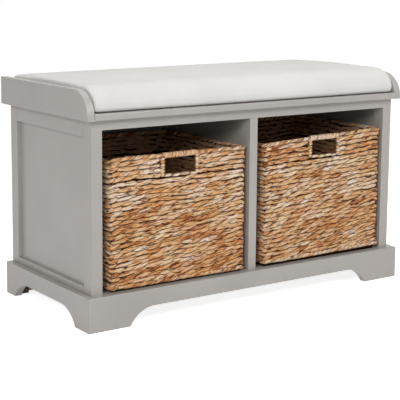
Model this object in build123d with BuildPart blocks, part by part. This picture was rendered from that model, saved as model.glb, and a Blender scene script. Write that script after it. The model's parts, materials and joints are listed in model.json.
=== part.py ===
from build123d import *
from math import sqrt
import os

os.makedirs("parts", exist_ok=True)

# Entryway storage bench: a framed case with two open compartments on a cut-out plinth, a seat
# between two end rails, a loose cushion, and a woven basket in each compartment.
# Millimetres, +Z up, +X along the bench, the open front towards -Y. The origin is on the floor,
# in the middle of the bench's width and overall depth.

# ---- Driving dimensions ----

# Overall
bench_width = 846.0
case_depth = 360.0
seat_front_overhang = 15.0
seat_back_overhang = 16.0
wood_edge_radius = 1.5

# Plinth
plinth_height = 73.0
plinth_thickness = 16.0
plinth_top_radius = 2.5
foot_clearance = 1.0
arch_height = 37.0
arch_radius = 67.0
front_foot_length = 98.0
side_foot_length = 42.0
corner_block_width = 18.0
glide_diameter = 14.0
glide_height = 4.0
glide_edge_radius = 1.0

# Case
bottom_panel_thickness = 16.0
opening_height = 336.4
cross_rail_height = 21.2
post_width = 25.0
front_post_depth = 33.0
back_post_depth = 30.0
side_top_rail_height = 35.6
side_bottom_rail_show = 13.0
side_panel_recess = 8.5
side_panel_thickness = 9.0
panel_groove_depth = 8.0
centre_stile_width = 21.0
divider_thickness = 15.0
back_panel_thickness = 4.0

# Seat
seat_board_thickness = 14.4
seat_board_radius = 3.0
seat_rail_thickness = 17.3
seat_rail_height = 60.6
seat_rail_nose_radius = 57.0
seat_rail_edge_radius = 2.0

# Cushion
cushion_side_thickness = 48.4
cushion_crown = 5.6
cushion_front_inset = 1.5
cushion_front_radius = 44.0
cushion_back_radius = 14.0
cushion_end_radius = 5.0
cushion_cover_thickness = 1.5

# Baskets
basket_side_room = 15.75
basket_back_room = 46.0
basket_top_room = 58.1
basket_wall = 9.0
basket_corner_radius = 15.0
basket_roll_height = 9.0
basket_roll_proud = 0.5
basket_roll_radius = 4.0
basket_base_thickness = 6.0
basket_base_lift = 2.0
left_basket_shift = 3.4
right_basket_shift = 6.6
handle_width = 75.0
handle_height = 35.0
handle_binding_thickness = 3.0
handle_wrap_thickness = 1.5
basket_hoop_diameter = 3.5
basket_upright_diameter = 3.0

# Fasteners
dowel_diameter = 8.0
dowel_length = 30.0
small_dowel_diameter = 6.0
small_dowel_length = 26.0
dowel_chamfer = 0.8
frame_dowel_depth = 12.0
cross_dowel_spacing = 13.0
seat_rail_dowel_depth = 10.0
seat_rail_dowel_count = 4
plinth_dowel_depth = 9.0
plinth_dowel_count = 2
plinth_dowel_margin = 20.0
back_board_dowel_margin = 13.0
screw_diameter = 4.0
screw_head_diameter = 8.0
screw_head_height = 2.2
screw_point_taper = 40.0
plinth_screw_length = 28.0
skirting_screw_length = 36.0
divider_screw_length = 45.0
divider_screw_count = 3
seat_screw_length = 30.0
panel_screw_diameter = 3.0
panel_screw_length = 14.0
panel_screw_head_diameter = 6.5
panel_screw_head_height = 1.8
screw_slot_width = 0.8
screw_slot_depth = 1.0
fastener_margin = 40.0
side_rail_fastener_count = 5
long_rail_screw_count = 4
back_screw_count = 3
back_screw_margin = 80.0

# Clearances
joinery_clearance = 0.2
fastener_clearance = 0.1
cushion_clearance = 1.2
resting_clearance = 0.3
weave_clearance = 0.3

# ---- Levels and faces that follow ----

front_reach = max(plinth_thickness, seat_front_overhang)
overall_depth = front_reach + case_depth + seat_back_overhang
case_front = front_reach - overall_depth / 2
case_back = case_front + case_depth
case_half = bench_width / 2 - plinth_thickness
inner_half = case_half - post_width

frame_bottom = plinth_height - bottom_panel_thickness
opening_top = plinth_height + opening_height
case_top = opening_top + cross_rail_height
seat_top = case_top + seat_board_thickness

front_post_back = case_front + front_post_depth
back_post_front = case_back - back_post_depth
back_panel_front = case_back - back_panel_thickness
front_post_mid = (case_front + front_post_back) / 2
back_rail_mid = (back_post_front + back_panel_front) / 2
case_mid = (case_front + case_back) / 2

post_mid_x = case_half - post_width / 2
block_mid_x = case_half - corner_block_width / 2
plinth_side_mid_x = case_half + plinth_thickness / 2
panel_mid_x = case_half - side_panel_recess - side_panel_thickness / 2
groove_width = side_panel_thickness + 2 * joinery_clearance
tongue_depth = panel_groove_depth - joinery_clearance

seat_front = case_front - seat_front_overhang
seat_back = case_back + seat_back_overhang
seat_mid = (seat_front + seat_back) / 2
seat_rail_inner = bench_width / 2 - seat_rail_thickness

SIDES = {"left": -1, "right": 1}


# ---- Helpers ----


def save(piece, name):
    """Label a finished piece and write its STEP file."""
    piece.part.label = name
    export_step(piece.part, f"parts/{name}.step")


def spread(low, high, count):
    """Evenly spaced positions from low to high."""
    return [low + (high - low) * step / (count - 1) for step in range(count)]


def board(low, high):
    """A plain rectangular board between two opposite corners."""
    size = [top - bottom for bottom, top in zip(low, high)]
    with BuildPart() as plank:
        with BuildSketch(Plane.XY.offset(low[2])):
            with Locations(((low[0] + high[0]) / 2, (low[1] + high[1]) / 2)):
                Rectangle(size[0], size[1])
        extrude(amount=size[2])
    return plank


def peg(diameter, length, growth=0.0):
    """A wooden dowel along +Z, centred on the origin. Growth turns it into the bore it fits."""
    with BuildPart() as dowel:
        Cylinder(diameter / 2 + growth, length + 2 * growth)
        if growth == 0:
            chamfer(dowel.edges().filter_by(GeomType.CIRCLE), dowel_chamfer)
    return dowel.part


def wood_screw(length, growth=0.0):
    """A countersunk screw whose head is flush at the origin and whose point is along +Z."""
    shank = screw_diameter / 2 + growth
    head = screw_head_diameter / 2 + growth
    point = length - screw_diameter
    with BuildPart() as screw:
        with BuildSketch(Plane.XZ):
            with BuildLine():
                Polyline(
                    (0, 0),
                    (head, 0),
                    (shank, screw_head_height),
                    (shank, point),
                    (0, length + growth),
                    close=True,
                )
            make_face()
        revolve(axis=Axis.Z)
        if growth == 0:
            with BuildSketch(Plane.XY):
                Rectangle(screw_head_diameter / 2, screw_slot_width)
                Rectangle(screw_slot_width, screw_head_diameter / 2)
            extrude(amount=screw_slot_depth, mode=Mode.SUBTRACT)
    return screw.part


def pan_screw(growth=0.0):
    """A small domed screw: the head stands on the origin's plane and the point is along +Z."""
    point = panel_screw_length - panel_screw_diameter
    with BuildPart() as screw:
        with BuildSketch():
            Circle(panel_screw_head_diameter / 2)
        extrude(amount=-panel_screw_head_height)
        fillet(screw.edges().group_by(Axis.Z)[0], panel_screw_head_height / 2)
        with BuildSketch():
            Circle(panel_screw_diameter / 2 + growth)
        extrude(amount=point)
        with BuildSketch(Plane.XY.offset(point)):
            Circle(panel_screw_diameter / 2 + growth)
        extrude(amount=panel_screw_diameter / 2 + growth, taper=screw_point_taper)
        if growth == 0:
            with BuildSketch(Plane.XY.offset(-panel_screw_head_height)):
                Rectangle(panel_screw_head_diameter / 2, screw_slot_width)
                Rectangle(screw_slot_width, panel_screw_head_diameter / 2)
            extrude(amount=screw_slot_depth, mode=Mode.SUBTRACT)
    return screw.part


def group(shape, places):
    """Copies of one fastener, or of the bore it needs, standing on the given planes."""
    with BuildPart() as fasteners:
        with Locations(*places):
            add(shape)
    return fasteners


# ---- Where the fasteners go ----

ALONG_Y = (0, 1, 0)
ALONG_Z = (0, 0, 1)
TO_FRONT = (0, -1, 0)
block_mid_y = {
    "front": case_front + side_foot_length / 2,
    "back": case_back - side_foot_length / 2,
}
block_mid_z = (glide_height + frame_bottom) / 2
bottom_panel_mid_z = (frame_bottom + plinth_height) / 2
plinth_dowel_levels = spread(
    foot_clearance + plinth_dowel_margin,
    plinth_height - plinth_dowel_margin,
    plinth_dowel_count,
)
back_dowel_levels = spread(
    foot_clearance + back_board_dowel_margin,
    frame_bottom - back_board_dowel_margin,
    plinth_dowel_count,
)
frame_dowel_offset = frame_dowel_depth - dowel_length / 2

plinth_screw_places = []
skirting_screw_places = []
bottom_dowel_places = []
plinth_dowel_places = []
cross_dowel_places = []
seat_rail_dowel_places = []
for side in SIDES.values():
    outward = (side, 0, 0)
    for y in block_mid_y.values():
        plinth_screw_places.append(
            Plane((side * (case_half - corner_block_width), y, block_mid_z), z_dir=outward)
        )
    # Dowels and screws take turns along the side's bottom rail.
    rail_stops = spread(
        front_post_back + fastener_margin,
        back_post_front - fastener_margin,
        side_rail_fastener_count,
    )
    for y in rail_stops[::2]:
        x = inner_half + frame_dowel_offset
        bottom_dowel_places.append(Plane((side * x, y, bottom_panel_mid_z), z_dir=outward))
    for y in rail_stops[1::2]:
        skirting_screw_places.append(
            Plane((side * inner_half, y, bottom_panel_mid_z), z_dir=outward)
        )
    for z in plinth_dowel_levels:
        y = case_front - plinth_dowel_depth + small_dowel_length / 2
        plinth_dowel_places.append(Plane((side * plinth_side_mid_x, y, z), z_dir=ALONG_Y))
    for z in back_dowel_levels:
        x = case_half - corner_block_width + plinth_dowel_depth - small_dowel_length / 2
        y = case_back - plinth_thickness / 2
        plinth_dowel_places.append(Plane((side * x, y, z), z_dir=outward))
    for middle in (front_post_mid, back_rail_mid):
        for y in (middle - cross_dowel_spacing / 2, middle + cross_dowel_spacing / 2):
            x = inner_half + frame_dowel_offset
            cross_dowel_places.append(
                Plane((side * x, y, opening_top + cross_rail_height / 2), z_dir=outward)
            )
    for y in spread(
        seat_front + fastener_margin, seat_back - fastener_margin, seat_rail_dowel_count
    ):
        x = seat_rail_inner + seat_rail_dowel_depth - small_dowel_length / 2
        seat_rail_dowel_places.append(
            Plane((side * x, y, case_top + seat_board_thickness / 2), z_dir=outward)
        )
cross_dowel_places.append(
    Plane((0, front_post_mid, opening_top + frame_dowel_offset), z_dir=ALONG_Z)
)

divider_screw_places = [
    Plane((0, y, frame_bottom), z_dir=ALONG_Z)
    for y in (
        front_post_mid,
        *spread(
            front_post_back + fastener_margin,
            back_panel_front - fastener_margin,
            divider_screw_count,
        ),
    )
]
long_rail_stops = spread(
    -inner_half + fastener_margin, inner_half - fastener_margin, long_rail_screw_count
)
seat_screw_places = [
    Plane((x, y, opening_top), z_dir=ALONG_Z)
    for y in (front_post_mid, back_rail_mid)
    for x in long_rail_stops
]
panel_screw_places = [
    Plane((x, case_back, z), z_dir=TO_FRONT)
    for z in (bottom_panel_mid_z, opening_top + cross_rail_height / 2)
    for x in long_rail_stops
] + [
    Plane((0, case_back, z), z_dir=TO_FRONT)
    for z in spread(
        plinth_height + back_screw_margin, opening_top - back_screw_margin, back_screw_count
    )
]

plinth_screw_bores = group(
    wood_screw(plinth_screw_length, fastener_clearance), plinth_screw_places
)
skirting_screw_bores = group(
    wood_screw(skirting_screw_length, fastener_clearance), skirting_screw_places
)
divider_screw_bores = group(
    wood_screw(divider_screw_length, fastener_clearance), divider_screw_places
)
seat_screw_bores = group(wood_screw(seat_screw_length, fastener_clearance), seat_screw_places)
panel_screw_bores = group(pan_screw(fastener_clearance), panel_screw_places)
bottom_dowel_bores = group(
    peg(dowel_diameter, dowel_length, fastener_clearance), bottom_dowel_places
)
cross_dowel_bores = group(
    peg(dowel_diameter, dowel_length, fastener_clearance), cross_dowel_places
)
plinth_dowel_bores = group(
    peg(small_dowel_diameter, small_dowel_length, fastener_clearance), plinth_dowel_places
)
seat_rail_dowel_bores = group(
    peg(small_dowel_diameter, small_dowel_length, fastener_clearance), seat_rail_dowel_places
)


# ---- Plinth ----


def arch_cut(half_gap):
    """The cut-out under a plinth board: flat on top, with a round shoulder at each foot.

    half_gap is half the distance between the feet at the board's lower edge.
    """
    rise = arch_height - foot_clearance
    reach = sqrt(arch_radius**2 - (arch_radius - rise) ** 2)
    width = 2 * (half_gap - reach + arch_radius)
    height = arch_height + 2 * arch_radius
    with Locations((0, arch_height - height / 2)):
        RectangleRounded(width, height, arch_radius, mode=Mode.SUBTRACT)


def standing_edges(piece, axis, end):
    """The upright edges of a board's face at one end of an axis: 0 is the low end, -1 the high."""
    return piece.edges().filter_by(Axis.Z).group_by(axis)[end]


def top_edge(piece, axis, end):
    """The top edge at one end of an axis."""
    return piece.edges().group_by(Axis.Z)[-1].sort_by(axis)[end]


with BuildPart() as plinth_front:
    with BuildSketch(Plane.XZ.offset(-case_front)):
        with Locations((0, (foot_clearance + plinth_height) / 2)):
            Rectangle(bench_width, plinth_height - foot_clearance)
        arch_cut(bench_width / 2 - front_foot_length)
    extrude(amount=plinth_thickness)
    fillet(standing_edges(plinth_front, Axis.Y, 0).sort_by(Axis.X)[0], wood_edge_radius)
    fillet(standing_edges(plinth_front, Axis.Y, 0).sort_by(Axis.X)[-1], wood_edge_radius)
    fillet(top_edge(plinth_front, Axis.Y, 0), plinth_top_radius)
    add(plinth_dowel_bores.part, mode=Mode.SUBTRACT)
save(plinth_front, "plinth_front")

for side_name, side in SIDES.items():
    with BuildPart() as plinth_side:
        with BuildSketch(Plane.YZ.offset(side * case_half)):
            with Locations((case_mid, (foot_clearance + plinth_height) / 2)):
                Rectangle(case_depth, plinth_height - foot_clearance)
            with Locations((case_mid, 0)):
                arch_cut(case_depth / 2 - side_foot_length)
        extrude(amount=side * plinth_thickness)
        fillet(top_edge(plinth_side, Axis.X, min(side, 0)), plinth_top_radius)
        add(plinth_dowel_bores.part, mode=Mode.SUBTRACT)
        add(plinth_screw_bores.part, mode=Mode.SUBTRACT)
        add(skirting_screw_bores.part, mode=Mode.SUBTRACT)
    save(plinth_side, f"plinth_{side_name}")

with BuildPart() as plinth_back:
    with BuildSketch(Plane.XZ.offset(-case_back)):
        with Locations((0, (foot_clearance + frame_bottom) / 2)):
            Rectangle(2 * (case_half - corner_block_width), frame_bottom - foot_clearance)
        arch_cut(bench_width / 2 - front_foot_length)
    extrude(amount=plinth_thickness)
    add(plinth_dowel_bores.part, mode=Mode.SUBTRACT)
save(plinth_back, "plinth_back")

glide_places = []
for side_name, side in SIDES.items():
    for end_name, y in block_mid_y.items():
        with BuildPart() as corner_block:
            with BuildSketch(Plane.XY.offset(glide_height)):
                with Locations((side * block_mid_x, y)):
                    Rectangle(corner_block_width, side_foot_length)
            extrude(amount=frame_bottom - glide_height)
            add(plinth_screw_bores.part, mode=Mode.SUBTRACT)
            add(plinth_dowel_bores.part, mode=Mode.SUBTRACT)
        save(corner_block, f"corner_block_{end_name}_{side_name}")
        glide_places.append((side * block_mid_x, y))

with BuildPart() as foot_glides:
    with BuildSketch():
        with Locations(*glide_places):
            Circle(glide_diameter / 2)
    extrude(amount=glide_height)
    fillet(foot_glides.edges().group_by(Axis.Z)[0], glide_edge_radius)
save(foot_glides, "foot_glides")


# ---- Case ----

with BuildPart() as bottom_panel:
    with BuildSketch(Plane.XY.offset(frame_bottom)):
        with Locations((0, (case_front + back_panel_front) / 2)):
            Rectangle(2 * inner_half, back_panel_front - case_front)
    extrude(amount=bottom_panel_thickness)
    add(bottom_dowel_bores.part, mode=Mode.SUBTRACT)
    add(divider_screw_bores.part, mode=Mode.SUBTRACT)
    add(panel_screw_bores.part, mode=Mode.SUBTRACT)
save(bottom_panel, "bottom_panel")

# Each post is grooved down its inner edge for the side panel and the rails' tongues.
POSTS = {
    "front": (front_post_mid, front_post_depth, 1),
    "back": (back_post_front + back_post_depth / 2, back_post_depth, -1),
}
for side_name, side in SIDES.items():
    for end_name, (mid_y, depth, inward) in POSTS.items():
        with BuildPart() as post:
            with BuildSketch(Plane.XY.offset(frame_bottom)) as post_section:
                with Locations((side * post_mid_x, mid_y)):
                    Rectangle(post_width, depth)
                fillet(
                    post_section.vertices().group_by(Axis.Y)[min(-inward, 0)],
                    wood_edge_radius,
                )
                with Locations(
                    (
                        side * panel_mid_x,
                        mid_y + inward * (depth - panel_groove_depth) / 2,
                    )
                ):
                    Rectangle(groove_width, panel_groove_depth, mode=Mode.SUBTRACT)
            extrude(amount=case_top - frame_bottom)
            add(cross_dowel_bores.part, mode=Mode.SUBTRACT)
        save(post, f"{end_name}_{side_name}_post")

# Side rails: a tongue at each end, and a groove along the edge that faces the panel.
side_opening_bottom = plinth_height + side_bottom_rail_show
side_opening_top = case_top - side_top_rail_height
SIDE_RAILS = {
    "top": (side_opening_top, case_top, side_opening_top),
    "bottom": (frame_bottom, side_opening_bottom, side_opening_bottom - panel_groove_depth),
}
for side_name, side in SIDES.items():
    for level_name, (low, high, groove_low) in SIDE_RAILS.items():
        with BuildPart() as side_rail:
            with BuildSketch(Plane.YZ.offset(side * inner_half)):
                with Locations(((front_post_back + back_post_front) / 2, (low + high) / 2)):
                    Rectangle(back_post_front - front_post_back, high - low)
            extrude(amount=side * post_width)
            with BuildSketch(Plane.YZ.offset(side * panel_mid_x)):
                with Locations(((front_post_back + back_post_front) / 2, (low + high) / 2)):
                    Rectangle(
                        back_post_front - front_post_back + 2 * tongue_depth, high - low
                    )
            extrude(amount=side_panel_thickness / 2, both=True)
            with BuildSketch(Plane.YZ.offset(side * panel_mid_x)):
                with Locations(
                    (
                        (front_post_back + back_post_front) / 2,
                        groove_low + panel_groove_depth / 2,
                    )
                ):
                    Rectangle(
                        back_post_front - front_post_back + 2 * panel_groove_depth,
                        panel_groove_depth,
                    )
            extrude(amount=groove_width / 2, both=True, mode=Mode.SUBTRACT)
            add(skirting_screw_bores.part, mode=Mode.SUBTRACT)
            add(bottom_dowel_bores.part, mode=Mode.SUBTRACT)
            add(cross_dowel_bores.part, mode=Mode.SUBTRACT)
        save(side_rail, f"{side_name}_{level_name}_rail")

    side_panel = board(
        (
            side * panel_mid_x - side_panel_thickness / 2,
            front_post_back - tongue_depth,
            side_opening_bottom - tongue_depth,
        ),
        (
            side * panel_mid_x + side_panel_thickness / 2,
            back_post_front + tongue_depth,
            side_opening_top + tongue_depth,
        ),
    )
    save(side_panel, f"{side_name}_side_panel")

CROSS_RAILS = {
    "front_top_rail": (case_front, front_post_back),
    "back_top_rail": (back_post_front, back_panel_front),
}
for rail_name, (rail_front, rail_back) in CROSS_RAILS.items():
    with BuildPart() as cross_rail:
        with BuildSketch(Plane.XY.offset(opening_top)):
            with Locations((0, (rail_front + rail_back) / 2)):
                Rectangle(2 * inner_half, rail_back - rail_front)
        extrude(amount=cross_rail_height)
        fillet(
            cross_rail.edges().filter_by(Axis.X).group_by(Axis.Z)[0].sort_by(Axis.Y)[0],
            wood_edge_radius,
        )
        add(cross_dowel_bores.part, mode=Mode.SUBTRACT)
        add(seat_screw_bores.part, mode=Mode.SUBTRACT)
        add(panel_screw_bores.part, mode=Mode.SUBTRACT)
    save(cross_rail, rail_name)

with BuildPart() as centre_stile:
    with BuildSketch(Plane.XY.offset(plinth_height)) as stile_section:
        with Locations((0, front_post_mid)):
            Rectangle(centre_stile_width, front_post_depth)
        fillet(stile_section.vertices().group_by(Axis.Y)[0], wood_edge_radius)
    extrude(amount=opening_height)
    add(cross_dowel_bores.part, mode=Mode.SUBTRACT)
    add(divider_screw_bores.part, mode=Mode.SUBTRACT)
save(centre_stile, "centre_stile")

# The divider stands behind the stile and is notched around the back rail.
with BuildPart() as divider:
    with BuildSketch(Plane.YZ.offset(-divider_thickness / 2)):
        with BuildLine():
            Polyline(
                (front_post_back, plinth_height),
                (back_panel_front, plinth_height),
                (back_panel_front, opening_top),
                (back_post_front, opening_top),
                (back_post_front, case_top),
                (front_post_back, case_top),
                close=True,
            )
        make_face()
    extrude(amount=divider_thickness)
    add(divider_screw_bores.part, mode=Mode.SUBTRACT)
    add(panel_screw_bores.part, mode=Mode.SUBTRACT)
save(divider, "divider")

with BuildPart() as back_panel:
    with BuildSketch(Plane.XZ.offset(-case_back)):
        with Locations((0, (frame_bottom + case_top) / 2)):
            Rectangle(2 * inner_half, case_top - frame_bottom)
    extrude(amount=back_panel_thickness)
    add(panel_screw_bores.part, mode=Mode.SUBTRACT)
save(back_panel, "back_panel")


# ---- Seat ----

with BuildPart() as seat_board:
    with BuildSketch(Plane.XY.offset(case_top)):
        with Locations((0, seat_mid)):
            Rectangle(2 * seat_rail_inner, seat_back - seat_front)
    extrude(amount=seat_board_thickness)
    fillet(seat_board.edges().filter_by(Axis.X).group_by(Axis.Y)[0], seat_board_radius)
    add(seat_screw_bores.part, mode=Mode.SUBTRACT)
    add(seat_rail_dowel_bores.part, mode=Mode.SUBTRACT)
save(seat_board, "seat_board")

for side_name, side in SIDES.items():
    with BuildPart() as seat_rail:
        with BuildSketch(Plane.YZ.offset(side * seat_rail_inner)) as rail_outline:
            with Locations((seat_mid, case_top + seat_rail_height / 2)):
                Rectangle(seat_back - seat_front, seat_rail_height)
            front_top = rail_outline.vertices().group_by(Axis.X)[0].sort_by(Axis.Y)[-1]
            fillet(front_top, seat_rail_nose_radius)
        extrude(amount=side * seat_rail_thickness)
        rounded = seat_rail.faces().filter_by(Axis.X).edges().filter_by(
            lambda edge: edge.center().Z > case_top + seat_rail_edge_radius
        )
        fillet(rounded, seat_rail_edge_radius)
        add(seat_rail_dowel_bores.part, mode=Mode.SUBTRACT)
    save(seat_rail, f"{side_name}_seat_rail")


# ---- Cushion ----


def cushion_solid(inset, low):
    """The crowned pad between the seat rails, standing on low and drawn in elsewhere by inset."""
    shoulder = seat_top + cushion_side_thickness - inset
    front = cushion_front + inset
    back = cushion_back - inset
    half = cushion_half - inset
    with BuildPart() as pad:
        with BuildSketch(Plane.YZ.offset(-half)) as profile:
            with BuildLine():
                Polyline((front, shoulder), (front, low), (back, low), (back, shoulder))
                ThreePointArc(
                    (front, shoulder),
                    ((front + back) / 2, shoulder + cushion_crown),
                    (back, shoulder),
                )
            make_face()
            upper = profile.vertices().group_by(Axis.Y)[-1].sort_by(Axis.X)
            fillet(upper[0], cushion_front_radius - inset)
            fillet(upper[-1], cushion_back_radius - inset)
        extrude(amount=2 * half)
        ends = pad.faces().filter_by(Axis.X).edges().filter_by(
            lambda edge: edge.center().Z > low + cushion_end_radius
        )
        fillet(ends, cushion_end_radius - inset)
    return pad


cushion_front = seat_front + cushion_front_inset
cushion_back = case_back + cushion_clearance
cushion_half = seat_rail_inner - cushion_clearance
cushion_bottom = seat_top + resting_clearance
cover_seam = cushion_bottom + cushion_cover_thickness

cushion_foam = cushion_solid(
    cushion_cover_thickness + joinery_clearance, cover_seam + joinery_clearance
)
save(cushion_foam, "cushion_foam")

# The top cover is an open box, sewn to the flat base cover round its lower edge.
cushion_space = cushion_solid(cushion_cover_thickness, cushion_bottom)
cushion_top_cover = cushion_solid(0, cover_seam)
with cushion_top_cover:
    add(cushion_space.part, mode=Mode.SUBTRACT)
save(cushion_top_cover, "cushion_top_cover")

cushion_base_cover = board(
    (-cushion_half, cushion_front, cushion_bottom),
    (cushion_half, cushion_back, cover_seam),
)
save(cushion_base_cover, "cushion_base_cover")


# ---- Baskets ----

opening_width = inner_half - centre_stile_width / 2
opening_mid = (inner_half + centre_stile_width / 2) / 2
basket_width = opening_width - 2 * basket_side_room
basket_depth = back_panel_front - case_front - basket_back_room
basket_height = opening_height - basket_top_room - resting_clearance
basket_front = case_front
basket_mid_y = basket_front + basket_depth / 2
basket_bottom = plinth_height + resting_clearance
basket_top = basket_bottom + basket_height
rim_bottom = basket_top - basket_roll_height
walls_bottom = basket_bottom + basket_roll_height
roll_width = basket_wall + 2 * basket_roll_proud
binding_width = handle_width - 2 * joinery_clearance
binding_height = handle_height - joinery_clearance
hand_hole_width = binding_width - 2 * handle_binding_thickness


def ring_section(centre_x, width, grow):
    """A band that follows the basket's outline, standing proud of its walls by grow."""
    with Locations((centre_x, basket_mid_y)):
        RectangleRounded(
            basket_width + 2 * grow,
            basket_depth + 2 * grow,
            basket_corner_radius + grow,
        )
        RectangleRounded(
            basket_width + 2 * grow - 2 * width,
            basket_depth + 2 * grow - 2 * width,
            basket_corner_radius + grow - width,
            mode=Mode.SUBTRACT,
        )


def roll(centre_x, low):
    """A rolled edge that runs all round the basket."""
    with BuildPart() as edge_roll:
        with BuildSketch(Plane.XY.offset(low)):
            ring_section(centre_x, roll_width, basket_roll_proud)
        extrude(amount=basket_roll_height)
        flat_faces = edge_roll.faces().filter_by(Axis.Z)
        fillet(flat_faces.edges(), basket_roll_radius)
    return edge_roll


BASKETS = {
    "left_basket": -opening_mid + left_basket_shift,
    "right_basket": opening_mid + right_basket_shift,
}
for basket_name, basket_x in BASKETS.items():
    with BuildPart() as walls:
        with BuildSketch(Plane.XY.offset(walls_bottom)):
            ring_section(basket_x, basket_wall, 0)
        extrude(amount=rim_bottom - walls_bottom)
        with BuildSketch(Plane.XZ.offset(-basket_front)):
            with Locations((basket_x, rim_bottom)):
                Rectangle(handle_width, 2 * handle_height)
        extrude(amount=-basket_wall, mode=Mode.SUBTRACT)
    save(walls, f"{basket_name}_walls")

    rim = roll(basket_x, rim_bottom)
    save(rim, f"{basket_name}_rim")
    bottom_roll = roll(basket_x, basket_bottom)
    save(bottom_roll, f"{basket_name}_bottom_roll")

    base_margin = roll_width - basket_roll_proud + weave_clearance
    with BuildPart() as base:
        with BuildSketch(Plane.XY.offset(basket_bottom + basket_base_lift)):
            with Locations((basket_x, basket_mid_y)):
                RectangleRounded(
                    basket_width - 2 * base_margin,
                    basket_depth - 2 * base_margin,
                    basket_corner_radius - base_margin,
                )
        extrude(amount=basket_base_thickness)
    save(base, f"{basket_name}_base")

    # Leaf strips bound round the notch's sides and lower edge.
    with BuildPart() as binding:
        with BuildSketch(Plane.XZ.offset(-basket_front - basket_wall / 2)):
            with Locations((basket_x, rim_bottom - binding_height / 2)):
                Rectangle(binding_width, binding_height)
            with Locations((basket_x, rim_bottom)):
                Rectangle(
                    hand_hole_width,
                    2 * (binding_height - handle_binding_thickness),
                    mode=Mode.SUBTRACT,
                )
        extrude(amount=basket_wall / 2 + basket_roll_proud, both=True)
    save(binding, f"{basket_name}_handle_binding")

    # A strip wound round the rim over the hand hole.
    wrap_length = hand_hole_width - 2 * joinery_clearance
    with BuildPart() as wrap:
        rim_mid_y = basket_front + basket_wall / 2
        rim_mid_z = rim_bottom + basket_roll_height / 2
        with BuildSketch(Plane.YZ.offset(basket_x - wrap_length / 2)):
            with Locations((rim_mid_y, rim_mid_z)):
                for growth, mode in (
                    (joinery_clearance + handle_wrap_thickness, Mode.ADD),
                    (joinery_clearance, Mode.SUBTRACT),
                ):
                    RectangleRounded(
                        roll_width + 2 * growth,
                        basket_roll_height + 2 * growth,
                        basket_roll_radius + growth,
                        mode=mode,
                    )
        extrude(amount=wrap_length)
    save(wrap, f"{basket_name}_handle_wrap")

    # The wire frame that the leaf is woven over: a hoop in each roll and four uprights.
    with BuildPart() as frame:
        hoop_half_x = (basket_width - basket_wall) / 2
        hoop_half_y = (basket_depth - basket_wall) / 2
        hoop_radius = basket_corner_radius - basket_wall / 2
        hoop_levels = (basket_bottom + basket_roll_height / 2, rim_mid_z)
        for level in hoop_levels:
            with BuildLine():
                hoop = FilletPolyline(
                    (basket_x - hoop_half_x, basket_mid_y - hoop_half_y, level),
                    (basket_x + hoop_half_x, basket_mid_y - hoop_half_y, level),
                    (basket_x + hoop_half_x, basket_mid_y + hoop_half_y, level),
                    (basket_x - hoop_half_x, basket_mid_y + hoop_half_y, level),
                    radius=hoop_radius,
                    close=True,
                )
            with BuildSketch(Plane(hoop @ 0, z_dir=hoop % 0)):
                Circle(basket_hoop_diameter / 2)
            sweep()
        upright_x = hoop_half_x - basket_corner_radius
        with BuildSketch(Plane.XY.offset(hoop_levels[0])):
            with Locations((basket_x, basket_mid_y)):
                with GridLocations(2 * upright_x, 2 * hoop_half_y, 2, 2):
                    Circle(basket_upright_diameter / 2)
        extrude(amount=hoop_levels[1] - hoop_levels[0])
    save(frame, f"{basket_name}_wire_frame")


# ---- Fasteners ----

plinth_screws = group(wood_screw(plinth_screw_length), plinth_screw_places)
save(plinth_screws, "plinth_screws")
skirting_screws = group(wood_screw(skirting_screw_length), skirting_screw_places)
save(skirting_screws, "skirting_screws")
divider_screws = group(wood_screw(divider_screw_length), divider_screw_places)
save(divider_screws, "divider_screws")
seat_screws = group(wood_screw(seat_screw_length), seat_screw_places)
save(seat_screws, "seat_screws")
back_panel_screws = group(pan_screw(), panel_screw_places)
save(back_panel_screws, "back_panel_screws")
bottom_panel_dowels = group(peg(dowel_diameter, dowel_length), bottom_dowel_places)
save(bottom_panel_dowels, "bottom_panel_dowels")
cross_rail_dowels = group(peg(dowel_diameter, dowel_length), cross_dowel_places)
save(cross_rail_dowels, "cross_rail_dowels")
plinth_dowels = group(peg(small_dowel_diameter, small_dowel_length), plinth_dowel_places)
save(plinth_dowels, "plinth_dowels")
seat_rail_dowels = group(peg(small_dowel_diameter, small_dowel_length), seat_rail_dowel_places)
save(seat_rail_dowels, "seat_rail_dowels")
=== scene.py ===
import json
from math import cos, pi, radians, sin, sqrt

import bpy
import numpy as np
from mathutils import Euler, Matrix, Vector


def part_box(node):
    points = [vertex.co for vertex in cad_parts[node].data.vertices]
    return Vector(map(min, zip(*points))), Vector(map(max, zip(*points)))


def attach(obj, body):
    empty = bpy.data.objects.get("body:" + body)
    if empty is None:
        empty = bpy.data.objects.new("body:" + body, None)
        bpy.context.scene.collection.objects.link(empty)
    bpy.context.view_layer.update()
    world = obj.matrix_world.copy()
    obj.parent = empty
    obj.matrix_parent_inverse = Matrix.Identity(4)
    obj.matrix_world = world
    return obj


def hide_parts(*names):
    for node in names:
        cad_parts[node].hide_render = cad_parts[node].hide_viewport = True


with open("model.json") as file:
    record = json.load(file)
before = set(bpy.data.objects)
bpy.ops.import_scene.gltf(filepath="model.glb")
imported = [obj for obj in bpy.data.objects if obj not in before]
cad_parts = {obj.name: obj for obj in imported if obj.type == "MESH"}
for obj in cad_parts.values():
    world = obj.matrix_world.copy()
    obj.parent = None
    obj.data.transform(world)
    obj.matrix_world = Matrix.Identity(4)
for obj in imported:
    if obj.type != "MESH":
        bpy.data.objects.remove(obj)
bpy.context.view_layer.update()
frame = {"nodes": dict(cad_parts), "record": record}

# An entryway bench: a painted case, an upholstered cushion and two baskets woven from leaf.
# Metres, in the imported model's frame: +X along the bench, the open front towards -Y, +Z up.

nodes = frame["nodes"]
scene = bpy.context.scene
rng = np.random.default_rng(62)
UP = np.array((0.0, 0.0, 1.0))
ROUNDING = 1e-6

# ---- Sizes ----

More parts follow.
